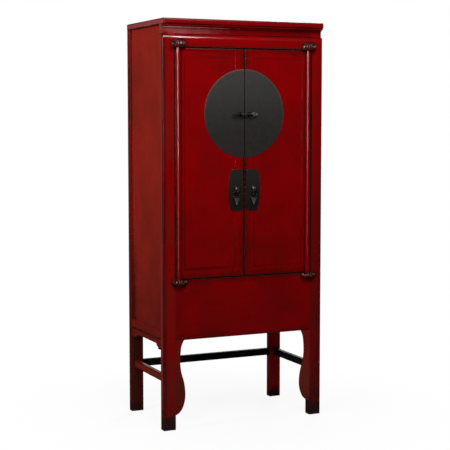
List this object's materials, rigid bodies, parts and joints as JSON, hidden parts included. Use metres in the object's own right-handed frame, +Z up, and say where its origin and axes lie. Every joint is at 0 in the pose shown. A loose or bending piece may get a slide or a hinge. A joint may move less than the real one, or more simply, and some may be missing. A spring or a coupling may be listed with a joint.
{
  "type": "chinese wedding cabinet",
  "caption": "Tall red lacquered wedding cabinet with round brass plate, pole-hung doors, shaped leg wings and inner drawers.",
  "frame": {"origin": "on the floor, in the middle of the cabinet's footprint", "axes": "+X to the right when facing the doors, +Y from the front to the back, +Z up"},
  "size_m": [0.8, 0.4736, 1.845],
  "materials": {
    "red_lacquer": "glossy rubbed lacquer",
    "carved_wood": "worn dark lacquer",
    "dark_lacquer": "dull black lacquer",
    "drawer_wood": "satin lacquer",
    "dark_brass": "dark patinated, matte"
  },
  "bodies": {
    "cabinet": {"front_left_post": "red_lacquer", "front_right_post": "red_lacquer", "rear_left_post": "red_lacquer", "rear_right_post": "red_lacquer", "front_left_spandrel": "red_lacquer", "front_right_spandrel": "red_lacquer", "left_bottom_rail": "red_lacquer", "right_bottom_rail": "red_lacquer", "left_side_panel": "red_lacquer", "right_side_panel": "red_lacquer", "left_side_apron": "red_lacquer", "right_side_apron": "red_lacquer", "left_stretcher": "red_lacquer", "right_stretcher": "red_lacquer", "top_board": "red_lacquer", "cove_moulding": "red_lacquer", "neck_frieze": "red_lacquer", "front_top_rail": "red_lacquer", "front_apron": "red_lacquer", "upper_left_pivot_block": "carved_wood", "upper_right_pivot_block": "carved_wood", "lower_left_pivot_block": "carved_wood", "lower_right_pivot_block": "carved_wood", "rear_stretcher": "dark_lacquer", "side_top_battens": "dark_lacquer", "back_top_rail": "dark_lacquer", "back_bottom_rail": "dark_lacquer", "back_panel": "dark_lacquer", "compartment_floor": "dark_lacquer", "deck": "dark_lacquer", "hatch_battens": "dark_lacquer", "drawer_shelf": "dark_lacquer", "upper_shelf": "dark_lacquer", "shelf_cleats": "dark_lacquer", "drawer_partitions": "dark_lacquer", "door_stops": "dark_lacquer"},
    "left_door": {"left_door_frame": "red_lacquer", "left_door_panel": "red_lacquer", "left_pivot_pole": "red_lacquer", "left_moon_plate": "dark_brass", "left_lock_eye": "dark_brass", "left_handle_plate": "dark_brass", "left_pull_boss": "dark_brass"},
    "right_door": {"right_door_frame": "red_lacquer", "right_door_panel": "red_lacquer", "right_pivot_pole": "red_lacquer", "right_moon_plate": "dark_brass", "right_lock_eye": "dark_brass", "right_handle_plate": "dark_brass", "right_pull_boss": "dark_brass"},
    "left_pull": {"left_pull": "dark_brass"},
    "right_pull": {"right_pull": "dark_brass"},
    "lock_pin": {"lock_pin": "dark_brass"},
    "left_drawer": {"left_drawer_front": "drawer_wood", "left_drawer_box": "drawer_wood", "left_drawer_knob": "dark_brass"},
    "right_drawer": {"right_drawer_front": "drawer_wood", "right_drawer_box": "drawer_wood", "right_drawer_knob": "dark_brass"},
    "compartment_lid": {"compartment_lid": "dark_lacquer"}
  },
  "joints": [
    {"name": "left_door_swing", "type": "hinge", "parent": "cabinet", "child": "left_door", "pos_m": [-0.3265, -0.2155, 1.202], "axis": [0, 0, -1], "range_deg": [0, 170]},
    {"name": "left_pull_lift", "type": "hinge", "parent": "left_door", "child": "left_pull", "pos_m": [-0.043, -0.22275, 1.0875], "axis": [-1, 0, 0], "range_deg": [0, 85]},
    {"name": "left_drawer_slide", "type": "slide", "parent": "cabinet", "child": "left_drawer", "axis": [0, -1, 0], "range_m": [0, 0.2]},
    {"name": "right_door_swing", "type": "hinge", "parent": "cabinet", "child": "right_door", "pos_m": [0.3265, -0.2155, 1.202], "axis": [0, 0, 1], "range_deg": [0, 170]},
    {"name": "right_pull_lift", "type": "hinge", "parent": "right_door", "child": "right_pull", "pos_m": [0.043, -0.22275, 1.0875], "axis": [-1, 0, 0], "range_deg": [0, 85]},
    {"name": "right_drawer_slide", "type": "slide", "parent": "cabinet", "child": "right_drawer", "axis": [0, -1, 0], "range_m": [0, 0.2]},
    {"name": "lock_pin_slide", "type": "slide", "parent": "right_door", "child": "lock_pin", "axis": [1, 0, 0], "range_m": [0, 0.075]},
    {"name": "lid_lift", "type": "slide", "parent": "cabinet", "child": "compartment_lid", "axis": [0, 0, 1], "range_m": [0, 0.15]}
  ],
  "couplings": [
    {"joint": "left_drawer_slide", "follows": "left_door_swing", "m_per_rad": 0.0674},
    {"joint": "right_drawer_slide", "follows": "right_door_swing", "m_per_rad": 0.0674}
  ]
}
